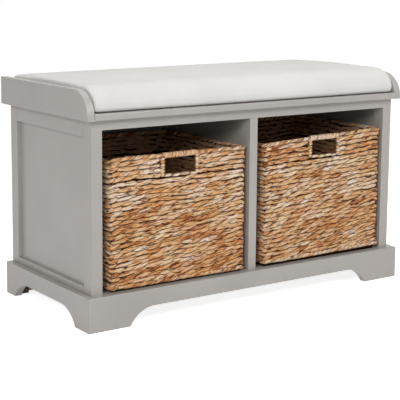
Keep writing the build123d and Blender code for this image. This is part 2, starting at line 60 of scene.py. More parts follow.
# Walls: two faces of overlapping strands in rows, with a thin dark sheet between them that is painted
# shade: it stands for the shade between the faces
WALL = 0.009
CORNER_RADIUS = 0.006
CORNER_POINTS = 9
ROW_PITCH = 0.0098
ROW_WAVE = 0.0014
EDGE_WAVE = ROW_WAVE / 3
SEAM_LEVEL = 0.2990
SHADE_SHEET_DEPTH = 0.0062
SHADE_SHEET_THICKNESS = 0.0006
SHADE_SHEET_SILL_DROP = 0.002

# How the rows wander: shares of the wave, and its lengths along the run and the level
ROW_WANDERS = ((0.6, 0.043, 0.06), (0.4, 0.019, 0.03))

# The left side's sag: how far round the front corner it reaches, and its ease at both ends
SAG_START = 0.020
SAG_EASE = 0.035
SAG_END_EASE = 0.05

# Strands
STRAND_HEIGHT = 0.0098
STRAND_THICKNESS = 0.0046
STRAND_LENGTH = 0.054
SHORT_STRAND = 0.030
SHORT_LIMIT = 1.3 * SHORT_STRAND
LEAST_STRAND = 0.4 * SHORT_STRAND
STRAND_OVERLAP = 0.47
STRAND_TILT = radians(14.0)
STRAND_TWIST = radians(12.0)
STRAND_BEND = 0.0006
STRAND_PROUD = 0.0014
STRAND_DEEP = 0.0052
STRAND_RINGS = 8
STRAND_SIDES = 8

# Shapes of strands: how full their tips are, and the powers that make them plump or lean
WALL_TIP = 0.025
SHORT_FULLNESS = 0.5
LONG_FULLNESS = 0.85
DIVE_POWER = 0.8
TIP_THICKNESS = 0.35
BOUND_TIP = 0.06
BASE_TIP = 0.05
FLAT_POWERS = (0.4, 0.3)
SECTION_POWERS = (0.8, 0.9)

# Slants and corners
SLANT_AT_RIM = radians(6.0)
SLANT_AT_BASE = radians(10.0)
SLANT_AT_SEAM = radians(4.0)
CORNER_LAP = 0.0040
CORNER_TUCK = 0.0085

# Spreads of the random draws for strands: a range to draw from, or a standard deviation
LENGTHS = (0.75, 1.3)
WIDTHS = (0.78, 1.16)
STRANDS_PER_LEAF = (5, 14)
SLANT_SPREAD = radians(2.4)
TILT_SPREAD = radians(8.0)
LEVEL_SPREAD = 0.0005
PROUD_SPREAD = 0.0004
LEAF_TINT_SPREAD = 0.10
STRAND_TINT_SPREAD = 0.075
BASE_TINT_SPREAD = 0.10
JAMB_TINT_SPREAD = 0.12
BOUND_TINT_SPREAD = 0.05
WRAP_TINT_SPREAD = 0.02
GRAIN_SPREAD = 50

# Hand hole: the level of its sill, and the strands bound round its edges
HOLE_LEVEL = 0.3068
HOLE_EDGE = 0.0036
SILL_DROP = 0.0028
SILL_REACH = (0.004, 0.018)
SILL_STRANDS = 4
SILL_LENGTH = 0.027
SILL_RISE = 0.0009
SILL_WAVE = 0.0005
SILL_HALF = (0.0031, 0.0026)
JAMB_PITCH = 0.0068
JAMB_ENDS = (0.0035, 0.004)
JAMB_REACH = (0.009, 0.016)
JAMB_DROP = (0.0008, 0.003)
JAMB_LAP = 0.0016
JAMB_HALF = (0.0040, 0.0028)
BINDING_DEPTH = 0.0022

# Grip: a strip wound over the rim above the hand hole
WRAP_PITCH = 0.0056
WRAP_HALF_DEPTH = 0.0056
WRAP_HALF_HEIGHT = 0.0048
WRAP_RISE = 0.0006
WRAP_HALF = (0.0033, 0.0010)
STEPS_PER_TURN = 20
BOXY = 0.7

# Rolled edges: the rim and the foot
ROPE_STRANDS = 3
ROPE_PITCH = 0.050
ROPE_STEP = 0.003
ROPE_OUT = 0.0026
ROPE_UP = 0.0019
ROLL_HALF = 0.0041
FIRST_ROW_RISE = 0.7 * ROLL_HALF
RIM_PROUD = 0.0012
WIRE_HALF = 0.0013

# Waves of turn, girth and tone as (height, length), where the grip's lengths are angles
ROPE_DRIFTS = ((0.6, 0.09), (0.35, 0.031))
ROPE_GIRTH = (0.12, 0.023)
ROPE_RIPPLE = (0.08, 0.008)
ROPE_TONES = ((0.15, 0.052), (0.12, 0.021))
WRAP_GIRTH = (0.14, 1.7)
WRAP_TONES = (0.12, 2.3)

# Base
BASE_LAP = 0.0018
BASE_DROP = 0.0015
BASE_SLANT = 0.0018
BASE_WAVE = 0.0006
BASE_HALF = (0.58 * STRAND_HEIGHT, 0.0023)
BASE_SHEET_DEPTH = 0.001

# Tones of the leaf: 0 is the palest and 1 the darkest
TONE = 0.35
FADE_MIDDLE = 0.55
# Painted light: the left side is painted paler and the right side darker, for how light falls on them
SIDE_SHADE = 0.06
SILL_TONE = 0.06
JAMB_TONE = 0.26
BASE_TONE = 0.5

# Drifts of tone over the walls: their lengths along two ways, and how far the second bends them
DRIFT_TONE = 0.06
BROAD_DRIFT = (0.061, 0.037, 2.1)
NARROW_DRIFT = (0.027, 0.019, 1.7)
PATCH_TONE = 0.09
RUN_PATCHES = (0.011, 0.013, 3.0)
LEVEL_PATCHES = (0.0085, 0.022, 2.0)
PHASES = 8

# The tone shifts at the seam, and has a band of its own under it
SEAM_BLEND = 0.004
SEAM_BAND = 0.035
SEAM_BAND_BLEND = 0.02

# Painted shade on the inner faces: their tones are flattened and darkened, and darken further below
# DEEP_LEVEL, where the front wall shades them
INNER_TONE = 0.16
INNER_CONTRAST = 0.5
DEEP_SHADE_TONE = 0.38
DEEP_LEVEL = 0.265
DEEP_BLEND = 0.045

# Painted shade on the strands: how far they darken towards their edges, their tips and their undersides,
# where shade falls between them
EDGE_POWER = 4
TIP_LIGHT = 0.5
TIP_LIGHT_POWER = 0.7
INNER_TIP_LIGHT = 0.75
UNDER_AT_BASE = 1.12
UNDER_FALL = 0.36
INNER_UNDER = 0.15
UNDER_START = 0.25
UNDER_REACH = 0.65
UNDER_POWER = 1.4


def srgb(red, green, blue):
    """A colour given as screen values from 0 to 255, as linear light."""
    values = [channel / 255 for channel in (red, green, blue)]
    return (*(v / 12.92 if v <= 0.04045 else ((v + 0.055) / 1.055) ** 2.4 for v in values), 1.0)


# ---- Materials ----

THREAD_SCALE = 320.0
WHITE = (1.0, 1.0, 1.0, 1.0)

# The colour sockets of a mix node, whose names aren't unique
MIX_FIRST, MIX_SECOND, MIX_RESULT = 6, 7, 2

# Leaf, from the palest tint at 0 to the darkest at 1, and what lies over it
LEAF_COLOURS = [
    (0.0, srgb(242, 222, 202)),
    (0.2, srgb(234, 203, 173)),
    (0.42, srgb(227, 179, 133)),
    (0.62, srgb(208, 145, 94)),
    (0.8, srgb(168, 100, 60)),
    (0.93, srgb(126, 66, 40)),
    (1.0, srgb(84, 46, 34)),
]
GOLDEN = (0.99, 0.96, 0.80, 1.0)
# Painted shade: the flat grey-brown that the shaded copy of the leaf is mixed towards
SHADE_GREY = srgb(156, 130, 112)
DARK_FIBRE = srgb(150, 98, 58)
PALE_FIBRE = srgb(240, 217, 180)
# Painted shade: the dark colour of the leaf's creases, where shade falls in the folds
FOLD_SHADE = srgb(84, 36, 12)
# Painted shade: the colour that the strands' tips, edges and undersides darken towards
PAINTED_SHADE = srgb(54, 22, 5)


class Shader:
    """A short way to write the nodes of a material or a world."""

    def __init__(self, owner, surface="Principled BSDF"):
        self.owner = owner
        self.owner.use_nodes = True
        self.tree = self.owner.node_tree
        self.surface = self.tree.nodes[surface]

    def node(self, kind, inputs=None, **settings):
        """A node with its settings, and its inputs fed by name or number."""
        made = self.tree.nodes.new(kind)
        for key, value in settings.items():
            setattr(made, key, value)
        for key, value in (inputs or {}).items():
            self.feed(made.inputs[key], value)
        return made

    def feed(self, socket, value):
        """Links an output to a socket, or sets the socket's own value."""
        if isinstance(value, bpy.types.NodeSocket):
            self.tree.links.new(value, socket)
        else:
            socket.default_value = value

    def finish(self, **values):
        """Sets the surface's sockets, named with underscores for spaces."""
        for name, value in values.items():
            self.feed(self.surface.inputs[name.replace("_", " ")], value)
        return self.owner

    def place(self, stretch=(1, 1, 1)):
        """Object coordinates, stretched by a factor along each axis."""
        coords = self.node("ShaderNodeTexCoord")
        return self.stretch(coords.outputs["Object"], stretch)

    def stretch(self, vector, factors):
        return self.node("ShaderNodeMapping", {"Vector": vector, "Scale": factors}).outputs["Vector"]

    def attribute(self, name, output="Fac"):
        """A value that each point of the mesh carries."""
        return self.node("ShaderNodeAttribute", attribute_name=name).outputs[output]

    def noise(self, where, scale, detail=3.0, roughness=0.5):
        """Cloudy noise round 0.5."""
        inputs = {"Vector": where, "Scale": scale, "Detail": detail, "Roughness": roughness}
        return self.node("ShaderNodeTexNoise", inputs).outputs["Fac"]

    def wave(self, where, scale, direction):
        """Even bands across one direction, from 0 to 1."""
        inputs = {"Vector": where, "Scale": scale}
        return self.node("ShaderNodeTexWave", inputs, bands_direction=direction).outputs["Fac"]

    def ramp(self, factor, stops):
        """A colour ramp through (position, colour) stops."""
        made = self.node("ShaderNodeValToRGB", {"Fac": factor})
        elements = made.color_ramp.elements
        while len(elements) < len(stops):
            elements.new(0.5)
        for element, (position, colour) in zip(elements, stops):
            element.position = position
            element.color = colour
        return made.outputs["Color"]

    def span(self, value, source, target):
        """A value mapped from one range to another."""
        inputs = {"Value": value}
        inputs["From Min"], inputs["From Max"] = source
        inputs["To Min"], inputs["To Max"] = target
        return self.node("ShaderNodeMapRange", inputs).outputs["Result"]

    def maths(self, operation, first, second):
        return self.node("ShaderNodeMath", {0: first, 1: second}, operation=operation).outputs["Value"]

    def mix(self, factor, first, second, blend_type="MIX"):
        """The first colour, turned into the second or blended with it as far as the factor says."""
        inputs = {0: factor, MIX_FIRST: first, MIX_SECOND: second}
        made = self.node("ShaderNodeMix", inputs, data_type="RGBA", blend_type=blend_type)
        return made.outputs[MIX_RESULT]

    def bump(self, height, distance, strength=1.0):
        inputs = {"Height": height, "Distance": distance, "Strength": strength}
        return self.node("ShaderNodeBump", inputs).outputs["Normal"]

    def seen(self):
        """One for rays from the camera, a mirror or glass, and zero for those that light things."""
        path = self.node("ShaderNodeLightPath")
        either = self.maths("MAXIMUM", path.outputs["Is Camera Ray"], path.outputs["Is Glossy Ray"])
        return self.maths("MAXIMUM", either, path.outputs["Is Transmission Ray"])


def new_shader(name):
    return Shader(bpy.data.materials.new(name))


def painted_wood():
    """Sprayed satin paint: faint clouding, a fine orange peel and a little unevenness of gloss."""
    made = new_shader("painted_wood")
    where = made.place()
    clouds = made.noise(where, scale=9.0, detail=4.0)
    peel = made.noise(where, scale=420.0, detail=2.0)
    grain = made.noise(made.place((6.0, 6.0, 60.0)), scale=5.0, detail=4.0, roughness=0.6)
    colour = made.ramp(clouds, [(0.3, srgb(169, 165, 160)), (0.7, srgb(177, 173, 168))])
    colour = made.mix(made.span(grain, (0.35, 0.75), (0.0, 0.12)), colour, srgb(158, 153, 147))
    height = made.maths("ADD", peel, made.maths("MULTIPLY", grain, 1.6))
    return made.finish(
        Base_Color=colour,
        Roughness=made.span(clouds, (0.3, 0.7), (0.29, 0.36)),
        Normal=made.bump(height, distance=0.00012, strength=0.4),
        Specular_IOR_Level=0.5,
    )


def raw_wood():
    """Dark stained softwood with its grain along Z."""
    made = new_shader("raw_wood")
    grain = made.noise(made.place((60.0, 60.0, 4.0)), scale=2.5, detail=6.0, roughness=0.65)
    colour = made.ramp(grain, [(0.3, srgb(62, 42, 30)), (0.55, srgb(96, 66, 46)), (0.8, srgb(124, 88, 60))])
    return made.finish(
        Base_Color=colour,
        Roughness=made.span(grain, (0.3, 0.8), (0.85, 0.65)),
        Normal=made.bump(grain, distance=0.0003, strength=0.6),
    )


def dowel_wood():
    """Turned beech: pale, with short dark flecks."""
    made = new_shader("dowel_wood")
    flecks = made.noise(made.place((300.0, 300.0, 900.0)), scale=1.0, roughness=0.6)
    colour = made.ramp(flecks, [(0.35, srgb(176, 132, 88)), (0.6, srgb(206, 168, 122))])
    return made.finish(
        Base_Color=colour,
        Roughness=0.7,
        Normal=made.bump(flecks, distance=0.0001, strength=0.5),
    )


def steel():
    """Zinc-plated screws: bright, with cloudy roughness."""
    made = new_shader("screw_steel")
    clouds = made.noise(made.place(), scale=700.0)
    return made.finish(
        Base_Color=made.ramp(clouds, [(0.3, srgb(176, 176, 170)), (0.7, srgb(205, 203, 196))]),
        Metallic=1.0,
        Roughness=made.span(clouds, (0.3, 0.7), (0.28, 0.45)),
    )


def glide_plastic():
    """Dark moulded plastic with a fine grain."""
    made = new_shader("glide")
    grain = made.noise(made.place(), scale=1500.0, detail=2.0)
    return made.finish(
        Base_Color=made.ramp(grain, [(0.3, srgb(40, 38, 36)), (0.7, srgb(54, 51, 48))]),
        Roughness=made.span(grain, (0.3, 0.7), (0.5, 0.65)),
        Normal=made.bump(grain, distance=0.0001, strength=0.5),
    )


def basket_wire():
    """Dark lacquered wire."""
    made = new_shader("basket_wire")
    clouds = made.noise(made.place(), scale=300.0)
    return made.finish(
        Base_Color=made.ramp(clouds, [(0.3, srgb(38, 33, 28)), (0.7, srgb(58, 50, 42))]),
        Metallic=0.4,
        Roughness=made.span(clouds, (0.3, 0.7), (0.4, 0.6)),
    )


def cushion_fabric():
    """Plain-woven off-white upholstery cloth: threads a millimetre apart, slubs and soft clouding."""
    made = new_shader("cushion_fabric")
    where = made.place()
    clouds = made.noise(where, scale=7.0, detail=4.0, roughness=0.6)
    slubs = made.noise(made.place((30.0, 300.0, 300.0)), scale=3.0, roughness=0.6)
    warp, weft, upright = (made.wave(where, THREAD_SCALE, axis) for axis in "XYZ")
    threads = made.maths("MULTIPLY", warp, made.maths("MAXIMUM", weft, upright))
    colour = made.ramp(clouds, [(0.3, srgb(222, 221, 217)), (0.7, srgb(231, 230, 227))])
    colour = made.mix(made.span(threads, (0.0, 0.4), (0.1, 0.0)), colour, srgb(180, 176, 168))
    colour = made.mix(made.span(slubs, (0.55, 0.8), (0.0, 0.25)), colour, srgb(238, 236, 230))
    height = made.maths("ADD", threads, made.maths("MULTIPLY", slubs, 0.7))
    return made.finish(
        Base_Color=colour,
        Roughness=0.92,
        Normal=made.bump(height, distance=0.0003, strength=0.45),
        Specular_IOR_Level=0.25,
        Sheen_Weight=0.15,
        Sheen_Roughness=0.5,
    )


def woven_leaf(name, streak, crease_shade, shade_grey_mix):
    """Dried leaf, straw to red-brown, with fibres along each strand, and painted shade at the strands'
    tucked tips, edges and undersides.

    The last three arguments say how strong the streaks, the painted shade in the leaf's folds and the flat
    grey-brown mix of the shaded copy are.
    """
    made = new_shader(name)
    grain = made.attribute("grain", "Vector")
    fibres = made.noise(made.stretch(grain, (70.0, 1400.0, 1.0)), scale=1.0, detail=4.0, roughness=0.65)
    streaks = made.noise(made.stretch(grain, (42.0, 360.0, 1.0)), scale=1.0, roughness=0.6)
    creases = made.noise(made.stretch(grain, (60.0, 430.0, 7.0)), scale=1.0, detail=2.0)
    golden = made.noise(made.stretch(grain, (6.0, 20.0, 17.0)), scale=1.0, detail=1.0)
    painted_light = made.attribute("painted_light")
    tint = made.maths("ADD", made.attribute("tint"), made.span(streaks, (0.32, 0.68), (-streak, streak)))
    colour = made.ramp(tint, LEAF_COLOURS)
    colour = made.mix(made.span(golden, (0.42, 0.6), (0.0, 1.0)), colour, GOLDEN, "MULTIPLY")
    # Painted shade: the shaded copy is mixed towards a flat grey-brown, which flattens its tones and its
    # pale fibres
    colour = made.mix(shade_grey_mix, colour, SHADE_GREY)
    colour = made.mix(made.span(fibres, (0.5, 0.75), (0.0, 0.5)), colour, DARK_FIBRE)
    pale = made.span(fibres, (0.42, 0.25), (0.0, 0.45 * (1 - shade_grey_mix)))
    colour = made.mix(pale, colour, PALE_FIBRE)
    # Painted shade: dark lines along the strands for the shade in the leaf's folds
    colour = made.mix(made.span(creases, (0.445, 0.37), (0.0, crease_shade)), colour, FOLD_SHADE)
    # Painted shade: where the points are painted less lit, the leaf turns towards the painted shade colour
    # and its specular level drops too
    colour = made.mix(made.span(painted_light, (0.14, 0.86), (0.96, 0.0)), colour, PAINTED_SHADE)
    return made.finish(
        Base_Color=colour,
        Roughness=made.span(fibres, (0.3, 0.7), (0.6, 0.8)),
        Normal=made.bump(fibres, distance=0.0006, strength=0.7),
        Specular_IOR_Level=made.span(painted_light, (0.4, 0.95), (0.0, 0.14)),
    )


def shade_sheet_material():
    """Painted shade: a dark sheet for the shade behind the strands, between the weave's faces and under the
    foot roll.
    """
    made = new_shader("shade_sheet_material")
    fibres = made.noise(made.place((200.0, 200.0, 20.0)), scale=1.0, detail=4.0, roughness=0.6)
    return made.finish(
        Base_Color=made.ramp(fibres, [(0.3, srgb(40, 20, 8)), (0.7, srgb(74, 40, 18))]),
        Roughness=0.85,
        Specular_IOR_Level=0.05,
        Normal=made.bump(fibres, distance=0.0005, strength=0.6),
    )


WIRE = basket_wire()
FABRIC = cushion_fabric()
LEAF = woven_leaf("woven_leaf", streak=0.26, crease_shade=0.9, shade_grey_mix=0.0)
# Painted shade: SHADED_LEAF is a flatter, greyer copy of the leaf for the insides of the walls and the base
SHADED_LEAF = woven_leaf("woven_leaf_inside", streak=0.16, crease_shade=0.5, shade_grey_mix=0.45)
SHADE_SHEET = shade_sheet_material()

SLOT_MATERIALS = {
    "painted_wood": painted_wood(),
    "raw_wood": raw_wood(),
    "dowel_wood": dowel_wood(),
    "screw_steel": steel(),
    "glide": glide_plastic(),
    "basket_wire": WIRE,
    "cushion_fabric": FABRIC,
    "cushion_foam": FABRIC,
    "woven_leaf": LEAF,
}


def dress(piece, material):
    piece.data.materials.clear()
    piece.data.materials.append(material)


for subpart in frame["record"]["subparts"]:
    dress(nodes[subpart["node"]], SLOT_MATERIALS[subpart["material_slot"]])


# ---- Strips: the flat strands that everything woven is made of ----


def unit(vectors):
    return vectors / np.linalg.norm(vectors, axis=-1, keepdims=True)


def signed_power(value, power):
    """A power of a value's size, with the value's sign."""
    return np.sign(value) * np.abs(value) ** power


def smooth_step(value):
    """Rises smoothly from 0 to 1 as the value does."""
    value = np.clip(value, 0, 1)
    return value * value * (3 - 2 * value)


def lens(step, tip):
    """How full a strand is along it: one in the middle, and little at its tips."""
    return np.sin(pi * (tip + (1 - 2 * tip) * step))


def random_phase(size=None):
    """Random starts for waves."""
    return rng.uniform(0, 6, size)


def waves(run, *parts):
    """Sines along a run, each given as (height, length) and started at random, added up."""
    return sum(height * np.sin(run / length + random_phase()) for height, length in parts)


def make_piece(name, body, material, vertices, faces):
    """A smooth-shaded mesh object that rides on a body."""
    mesh = bpy.data.meshes.new(name)
    mesh.from_pydata(vertices.tolist(), [], faces.tolist())
    mesh.shade_smooth()
    mesh.materials.append(material)
    piece = bpy.data.objects.new(name, mesh)
    scene.collection.objects.link(piece)
    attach(piece, body)
    return piece


class Strips:
    """Collects strands that run along centre lines, each a closed flat tube, for one mesh."""

    def __init__(self):
        self.parts = []
        self.count = 0

    def add(self, centre, outward, half_width, half_thickness, tint, painted_light, edge=0.6, under=0.0):
        """Adds strands. centre and outward are (strands, rings, 3), and the rest (strands, rings).

        edge and under say how dark the painted shade is at the strands' edges and on their undersides. The
        fifth argument and the result carry how lit each point is painted: 1 where it is fully lit, less
        where it is in painted shade.
        """
        strands, rings = centre.shape[:2]
        along = unit(np.gradient(centre, axis=1))
        across = unit(np.cross(outward, along))
        normal = np.cross(along, across)
        angle = np.arange(STRAND_SIDES) * 2 * pi / STRAND_SIDES
        wide = half_width[:, :, None] * signed_power(np.cos(angle), SECTION_POWERS[0])
        thick = half_thickness[:, :, None] * signed_power(np.sin(angle), SECTION_POWERS[1])
        reach = across[:, :, None] * wide[..., None] + normal[:, :, None] * thick[..., None]
        spots = centre[:, :, None] + reach
        run = np.cumsum(np.linalg.norm(np.diff(centre, axis=1, prepend=centre[:, :1]), axis=2), axis=1)
        seed = rng.uniform(0, GRAIN_SPREAD, (strands, 1, 1))
        grain = np.stack(np.broadcast_arrays(run[..., None] + seed, wide + seed, seed), axis=-1)
        # Painted shade: each point darkens towards the strand's edges and where it faces down, and the
        # result is kept as how lit it is painted
        down = -(across[..., 2:] * np.cos(angle) + normal[..., 2:] * np.sin(angle))
        beneath = np.clip((down - UNDER_START) / UNDER_REACH, 0, 1) ** UNDER_POWER
        light = 1 - edge * np.abs(np.cos(angle)) ** EDGE_POWER - under * beneath
        part = {
            "spots": spots.reshape(-1, 3),
            "faces": strip_faces(strands, rings) + self.count,
            "grain": grain.reshape(-1, 3),
            "tint": np.broadcast_to(tint[..., None], spots.shape[:3]).ravel(),
            "painted_light": np.clip(painted_light[..., None] * light, 0, 1).ravel(),
        }
        self.parts.append(part)
        self.count += strands * rings * STRAND_SIDES

    def add_one(self, *columns, **shading):
        """Adds one strand, given as add takes them but with no strands axis."""
        self.add(*(column[None] for column in columns), **shading)

    def make(self, name, body, material=LEAF):
        """One piece of all the strands, whose points carry what the leaf's material reads."""
        joined = {key: np.concatenate([part[key] for part in self.parts]) for key in self.parts[0]}
        piece = make_piece(name, body, material, joined["spots"], joined["faces"])
        for key in ("tint", "painted_light"):
            layer = piece.data.attributes.new(key, "FLOAT", "POINT")
            layer.data.foreach_set("value", joined[key].astype(np.float32))
        layer = piece.data.attributes.new("grain", "FLOAT_VECTOR", "POINT")
        layer.data.foreach_set("vector", joined["grain"].astype(np.float32).ravel())
        return piece


def strip_faces(strands, rings):
    """Quads of that many closed tubes, with a flat cap on each end."""
    side = np.arange(STRAND_SIDES)
    ring = np.arange(rings - 1)[:, None] * STRAND_SIDES
    after = (side + 1) % STRAND_SIDES
    tube = np.stack(
        (ring + side, ring + after, ring + STRAND_SIDES + after, ring + STRAND_SIDES + side), axis=-1
    ).reshape(-1, 4)
    step = np.arange(STRAND_SIDES // 2 - 1)
    last = STRAND_SIDES - 1
    cap = np.stack((step, last - step, last - 1 - step, step + 1), axis=-1)
    far_cap = cap[:, ::-1] + (rings - 1) * STRAND_SIDES
    one = np.concatenate((tube, cap, far_cap))
    starts = np.arange(strands)[:, None, None] * rings * STRAND_SIDES
    return (one + starts).reshape(-1, 4)


class Loop:
    """A level rounded rectangle, followed anticlockwise from the middle of its front side."""

    def __init__(self, centre, half_x, half_y, radius):
        points = [(0.0, -half_y)]
        normals = [(0.0, -1.0)]
        for side_x, side_y, start in ((1, -1, -90), (1, 1, 0), (-1, 1, 90), (-1, -1, 180)):
            for turn in np.linspace(0, 90, CORNER_POINTS):
                out_x, out_y = cos(radians(start + turn)), sin(radians(start + turn))
                normals.append((out_x, out_y))
                x = side_x * (half_x - radius) + radius * out_x
                points.append((x, side_y * (half_y - radius) + radius * out_y))
        points.append(points[0])
        normals.append(normals[0])
        self.points = np.array(points) + centre
        self.normals = np.array(normals)
        self.marks = np.append(0.0, np.cumsum(np.linalg.norm(np.diff(self.points, axis=0), axis=1)))
        self.length = self.marks[-1]
        self.corners = self.marks[1 + CORNER_POINTS // 2 + CORNER_POINTS * np.arange(4)]

    def at(self, run):
        """The outline's points and outward directions at distances along it."""
        run = np.mod(run, self.length)
        place = [np.interp(run, self.marks, self.points[:, axis]) for axis in (0, 1)]
        facing = [np.interp(run, self.marks, self.normals[:, axis]) for axis in (0, 1)]
        zero = np.zeros_like(run)
        return np.stack((*place, zero), axis=-1), unit(np.stack((*facing, zero), axis=-1))


# ---- Baskets ----

LOWEST, HIGHEST = 0, 1
X, Y, Z = 0, 1, 2


def row_levels(low, high):
    """The middles of rows that fill a stretch evenly."""
    count = round((high - low) / ROW_PITCH)
    return low + (np.arange(count) + 0.5) * (high - low) / count


def fill(start, end):
    """Middles and lengths of the strands that overlap along a stretch, short ones at its ends."""
    run = start
    while True:
        short = run - start < SHORT_STRAND / 2 or end - run < STRAND_LENGTH
        length = (SHORT_STRAND if short else STRAND_LENGTH) * rng.uniform(*LENGTHS)
        if run + length > end - LEAST_STRAND:
            yield (run + end) / 2, end - run
            return
        yield run + length / 2, length
        run += length * (1 - STRAND_OVERLAP)


def ripple(first, second, form, first_phase, second_phase):
    """A sine along one way that another sine, along a second way, bends to and fro."""
    first_length, second_length, bend = form
    return np.sin(first / first_length + first_phase + bend * np.sin(second / second_length + second_phase))


class Basket:
    """One basket's measures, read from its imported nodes, and the pieces woven around them."""

    def __init__(self, name, look, seed):
        self.name = name
        self.look = look
        self.phase = np.random.default_rng(seed).uniform(0, 2 * pi, PHASES)
        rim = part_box(f"{name}_rim")
        self.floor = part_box(f"{name}_bottom_roll")[LOWEST][Z]
        self.low, self.high = (np.array(corner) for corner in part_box(f"{name}_walls"))
        self.centre = (self.low + self.high) / 2
        self.rim_level = (rim[LOWEST][Z] + rim[HIGHEST][Z]) / 2
        self.foot_level = self.floor + look["gap"] + ROLL_HALF
        self.hole_half = look["hole"] / 2
        half_x, half_y = (self.high - self.low)[:Z] / 2
        self.loop = Loop(self.centre[:Z], half_x, half_y, CORNER_RADIUS)

    def share(self, place, axis):
        """How far across the walls a place is along an axis, from 0 to 1."""
        return (place - self.low[axis]) / (self.high[axis] - self.low[axis])

    def base_level(self, x):
        """The middle of the base, which tilts with the foot roll."""
        return self.foot_level - BASE_DROP + self.look["rise_at_foot"] * self.share(x, X)

    def tone(self, run, level):
        """Slow drifts of colour over the walls, from pale near the rim to brown near the base."""
        phase = self.phase
        drift = ripple(run, level, BROAD_DRIFT, *phase[0:2]) + ripple(run, level, NARROW_DRIFT, *phase[2:4])
        patches = ripple(run, level, RUN_PATCHES, 0, phase[6])
        patches = patches * ripple(level, run, LEVEL_PATCHES, 0, phase[7])
        above = smooth_step((level - SEAM_LEVEL) / SEAM_BLEND)
        below = smooth_step((SEAM_LEVEL - level) / SEAM_BLEND)
        below = below * smooth_step((level - SEAM_LEVEL + SEAM_BAND) / SEAM_BAND_BLEND)
        shift = above * self.look["above_seam"] + below * self.look["below_seam"]
        fade = self.look["fade"] * (FADE_MIDDLE - self.share(level, Z))
        return TONE + fade + DRIFT_TONE * drift + PATCH_TONE * patches + shift

    def lift(self, run, level, wave=ROW_WAVE):
        """How far the weave stands above its row's level: a wander, a tilt and a sagging left side."""
        share = np.clip(self.share(level, Z), 0, 1)
        wander = wave * sum(
            part * np.sin(run / along + phase + level / upward)
            for (part, along, upward), phase in zip(ROW_WANDERS, self.phase[4:6])
        )
        foot, rim = self.look["rise_at_foot"], self.look["rise_at_rim"]
        tilt = (foot + (rim - foot) * share) * self.share(self.loop.at(run)[0][..., X], X)
        back, corner = self.loop.corners[2:]
        half = self.loop.length / 2
        before = np.mod(corner - run + half, self.loop.length) - half
        hang = smooth_step((before + SAG_START) / SAG_EASE)
        hang = hang * smooth_step((corner - back - before) / SAG_END_EASE)
        return wander + tilt - self.look["sag"] * hang * share**2

    def stretches(self, odd, split):
        """One row from corner to corner, or to the hand hole: start, end, which way it leans, and how much
        paler or darker its side is painted for the light.
        """
        lap = CORNER_LAP if odd else -CORNER_LAP
        starts = self.loop.corners + lap - CORNER_TUCK
        ends = self.loop.corners + lap + CORNER_TUCK
        front_left = starts[3] - self.loop.length
        if split:
            yield front_left, -self.hole_half, 1.0, 0.0
            yield self.hole_half, ends[0], 1.0, 0.0
        else:
            yield front_left, ends[0], 1.0, 0.0
        # Painted light: the right side is painted darker and the left side paler
        yield starts[0], ends[1], -1.0, SIDE_SHADE
        yield starts[1], ends[2], 1.0, 0.0
        yield starts[2], ends[3], -1.0, -SIDE_SHADE

    def rows(self):
        """Each row's level, its slant and whether the hand hole splits it."""
        start = self.foot_level + FIRST_ROW_RISE
        below = row_levels(start, SEAM_LEVEL)
        above = row_levels(SEAM_LEVEL + self.look["seam_gap"], self.high[Z])
        for level in below:
            share = (level - start) / (self.high[Z] - start)
            slant = SLANT_AT_BASE + (SLANT_AT_RIM - SLANT_AT_BASE) * share
            yield level, SLANT_AT_SEAM if level == below[-1] else slant, False
        for level in above:
            yield level, SLANT_AT_SEAM if level == above[0] else SLANT_AT_RIM, True

    def strands(self):
        """Middle, length, level, slant and tint of each strand of one face of the walls.

        Two leaves take turns along a row, and each keeps its tint for a few strands.
        """
        found = []
        for row, (level, slant, split) in enumerate(self.rows()):
            leaf_ends = [0, 0]
            leaf_tints = [0.0, 0.0]
            number = 0
            for start, end, lean, shade in self.stretches(row % 2 == 1, split):
                for middle, length in fill(start, end):
                    leaf = number % 2
                    if number >= leaf_ends[leaf]:
                        leaf_ends[leaf] = number + rng.integers(*STRANDS_PER_LEAF)
                        leaf_tints[leaf] = rng.normal(0, LEAF_TINT_SPREAD)
                    tint = leaf_tints[leaf] + rng.normal(0, STRAND_TINT_SPREAD) + shade
                    found.append((middle, length, level, lean * slant, tint))
                    number += 1
        return (column[:, None] for column in np.array(found).T)

    def weave_walls(self, inside):
        """The twisted strands on the walls' outer or inner face."""
        middle, length, level, slant, tint = self.strands()
        each = middle.shape
        step = np.linspace(0, 1, STRAND_RINGS)[None]
        swell = lens(step, WALL_TIP) * np.ones(each)
        run = middle + length * (step - 0.5)
        slant = slant + np.sign(slant) * rng.normal(0, SLANT_SPREAD, each)
        rise = np.tan(slant) * length * (step - 0.5)
        rise = rise + STRAND_BEND * np.sin(2 * pi * step + random_phase(each))
        height = level + rng.normal(0, LEVEL_SPREAD, each) + self.lift(run, level) + rise
        proud = STRAND_PROUD + rng.normal(0, PROUD_SPREAD, each)
        depth = STRAND_DEEP - (STRAND_DEEP - proud) * swell**DIVE_POWER
        place, facing = self.loop.at(run)
        if inside:
            centre = place - facing * (WALL - depth)[..., None] + UP * height[..., None]
            facing = -facing
        else:
            centre = place - facing * depth[..., None] + UP * height[..., None]
        tilt = STRAND_TILT + rng.normal(0, TILT_SPREAD, each) + STRAND_TWIST * np.cos(pi * step)
        outward = facing * np.cos(tilt)[..., None] + UP * np.sin(tilt)[..., None]
        fullness = np.where(length < SHORT_LIMIT, SHORT_FULLNESS, LONG_FULLNESS)
        half_width = STRAND_HEIGHT / 2 * rng.uniform(*WIDTHS, each) * swell**fullness
        half_thickness = STRAND_THICKNESS / 2 * (TIP_THICKNESS + (1 - TIP_THICKNESS) * swell)
        colour = tint + self.tone(run, level)
        if inside:
